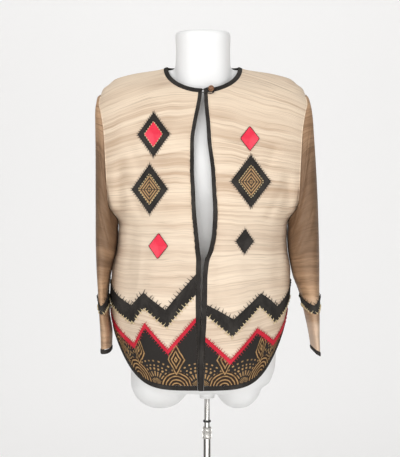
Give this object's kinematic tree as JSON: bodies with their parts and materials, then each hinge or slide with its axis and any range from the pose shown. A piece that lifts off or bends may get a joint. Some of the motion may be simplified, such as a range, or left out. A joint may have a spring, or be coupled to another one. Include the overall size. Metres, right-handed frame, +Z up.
{
  "type": "collarless blazer on a limbless dress form with a stand",
  "caption": "Open-front collarless jacket of slubbed silk with zigzag borders and bound edges, worn by a limbless dress form on a height-adjustable stand.",
  "frame": {"origin": "on the floor, under the centre of the base plate and the pole", "axes": "+Z up along the pole, -Y towards the jacket's front, +X towards the wearer's left"},
  "size_m": [0.4897, 0.36, 1.437],
  "materials": {
    "slub_silk": "cream-beige slubbed silk with tan streaks across, softly lustrous",
    "sleeve_silk": "tan-brown slubbed silk with darker streaks, softly lustrous",
    "black_cotton": "matt black woven cotton",
    "red_cloth": "matt red woven cloth with ragged stitched edges",
    "printed_cloth": "ochre print on brown-black cotton",
    "turned_wood": "dark brown polished wood with a lighter grain",
    "form_plastic": "off-white moulded plastic, smooth",
    "polished_steel": "polished chrome-plated steel",
    "black_rubber": "matt black rubber"
  },
  "bodies": {
    "stand": {"base_plate": "polished_steel", "base_hub": "polished_steel", "pole_tube": "polished_steel", "lock_collar": "polished_steel"},
    "pole": {"pole_rod": "polished_steel", "stop_ring": "black_rubber"},
    "form": {"pole_socket": "form_plastic", "dress_form": "form_plastic", "front_right": "slub_silk", "front_left": "slub_silk", "back": "slub_silk", "sleeve_right": "sleeve_silk", "sleeve_left": "sleeve_silk", "cuff_binding_right": "black_cotton", "cuff_binding_left": "black_cotton", "sleeve_band_right": "black_cotton", "sleeve_band_left": "black_cotton", "chevron_band_right": "black_cotton", "chevron_band_left": "black_cotton", "chevron_band_back": "black_cotton", "red_trim_right": "red_cloth", "red_trim_left": "red_cloth", "red_trim_back": "red_cloth", "hem_panel_right": "printed_cloth", "hem_panel_left": "printed_cloth", "hem_panel_back": "printed_cloth", "hem_binding_right": "black_cotton", "hem_binding_left": "black_cotton", "hem_binding_back": "black_cotton", "front_binding_right": "black_cotton", "front_binding_left": "black_cotton", "neck_binding": "black_cotton", "patch_right_upper": "black_cotton", "inset_right_upper": "red_cloth", "patch_right_middle": "black_cotton", "inset_right_middle": "printed_cloth", "patch_right_lower": "red_cloth", "patch_left_upper": "red_cloth", "patch_left_middle": "black_cotton", "inset_left_middle": "printed_cloth", "patch_left_lower": "black_cotton", "button": "turned_wood", "button_loop": "black_cotton"}
  },
  "joints": [
    {"name": "pole_height", "type": "slide", "parent": "stand", "child": "pole", "axis": [0, 0, 1], "range_m": [-0.01, 0.22]},
    {"name": "form_turn", "type": "hinge", "parent": "pole", "child": "form", "pos_m": [0, 0, 0.6336], "axis": [0, 0, 1], "continuous": true}
  ]
}
